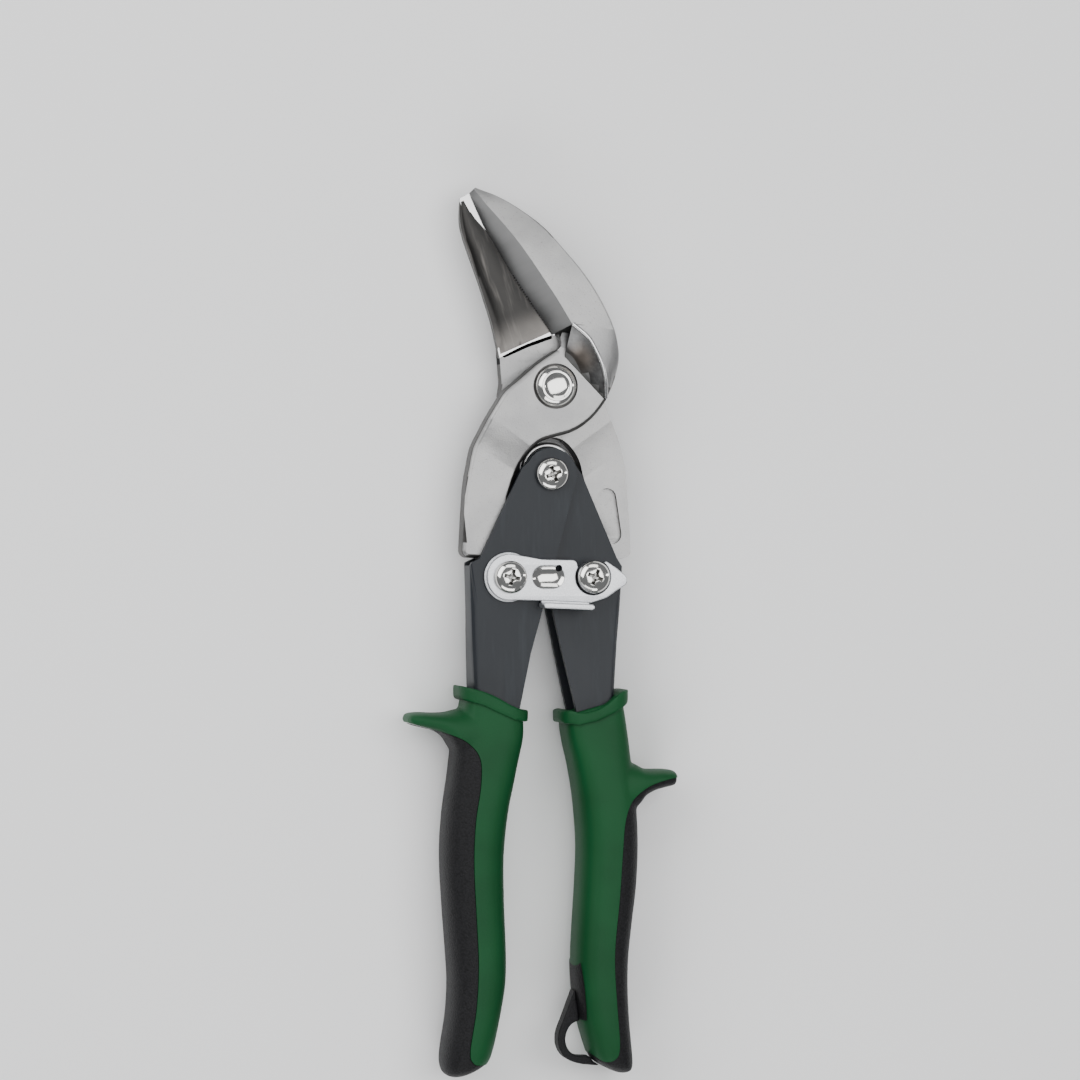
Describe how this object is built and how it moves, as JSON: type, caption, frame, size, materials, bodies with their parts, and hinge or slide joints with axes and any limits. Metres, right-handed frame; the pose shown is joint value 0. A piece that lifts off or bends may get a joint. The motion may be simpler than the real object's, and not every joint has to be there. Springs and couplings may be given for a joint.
{
  "type": "aviation snips",
  "caption": "Compound-leverage aviation snips with offset blades, two link-driven arms, channel handles, a swinging latch, moulded grips with finger guards and a hanging loop.",
  "frame": {"origin": "on the main pivot's axis, in the plane that the tool rests on when it lies on its back", "axes": "+X towards the right handle with the latch facing the viewer, +Y towards the blade tips, +Z out of the latched side"},
  "size_m": [0.078, 0.2504, 0.0256],
  "materials": {
    "forged_steel": "bead-blasted forging, ground cutting faces",
    "painted_steel": "slate-grey semi-satin paint",
    "green_grip": "fine-textured moulded grip",
    "black_grip": "grained soft overmould",
    "zinc_plate": "bright zinc plating",
    "chrome": "polished plating",
    "spring_steel": "drawn wire"
  },
  "bodies": {
    "left_handle_body": {"left_handle": "painted_steel", "left_grip": "green_grip", "left_grip_inlay": "black_grip", "return_spring": "spring_steel", "fulcrum_screw": "chrome", "fulcrum_bush": "zinc_plate", "fulcrum_nut": "chrome", "left_link_screw": "chrome", "left_link_nut": "chrome", "latch_wave_washer": "zinc_plate"},
    "right_handle_body": {"right_handle": "painted_steel", "right_grip": "green_grip", "right_grip_inlay": "black_grip", "hanging_loop": "black_grip", "right_link_screw": "chrome", "right_link_spacer": "zinc_plate", "right_link_nut": "chrome"},
    "front_blade_body": {"front_blade": "forged_steel", "pivot_bolt": "chrome", "pivot_washer": "zinc_plate", "pivot_lock_nut": "chrome"},
    "rear_blade_body": {"rear_blade": "forged_steel"},
    "latch_body": {"latch": "zinc_plate"}
  },
  "joints": [
    {"name": "handle_open", "type": "hinge", "parent": "left_handle_body", "child": "right_handle_body", "pos_m": [-0.0011, -0.02475, 0.011], "axis": [0, 0, 1], "range_deg": [0, 28], "deforming": ["return_spring"]},
    {"name": "front_blade_swing", "type": "hinge", "parent": "left_handle_body", "child": "front_blade_body", "pos_m": [-0.0136, -0.0537, 0.011], "axis": [0, 0, 1], "range_deg": [0, 7]},
    {"name": "jaw_open", "type": "hinge", "parent": "front_blade_body", "child": "rear_blade_body", "pos_m": [0, 0, 0.011], "axis": [0, 0, 1], "range_deg": [0, 14.6]},
    {"name": "latch_swing", "type": "hinge", "parent": "left_handle_body", "child": "latch_body", "pos_m": [-0.0136, -0.0537, 0.011], "axis": [0, 0, 1], "range_deg": [-90, 0]}
  ],
  "couplings": [
    {"joint": "front_blade_swing", "follows": "handle_open", "ratio": 0.248},
    {"joint": "jaw_open", "follows": "handle_open", "ratio": 0.52},
    {"joint": "latch_swing", "follows": "handle_open", "ratio": -3.2}
  ]
}
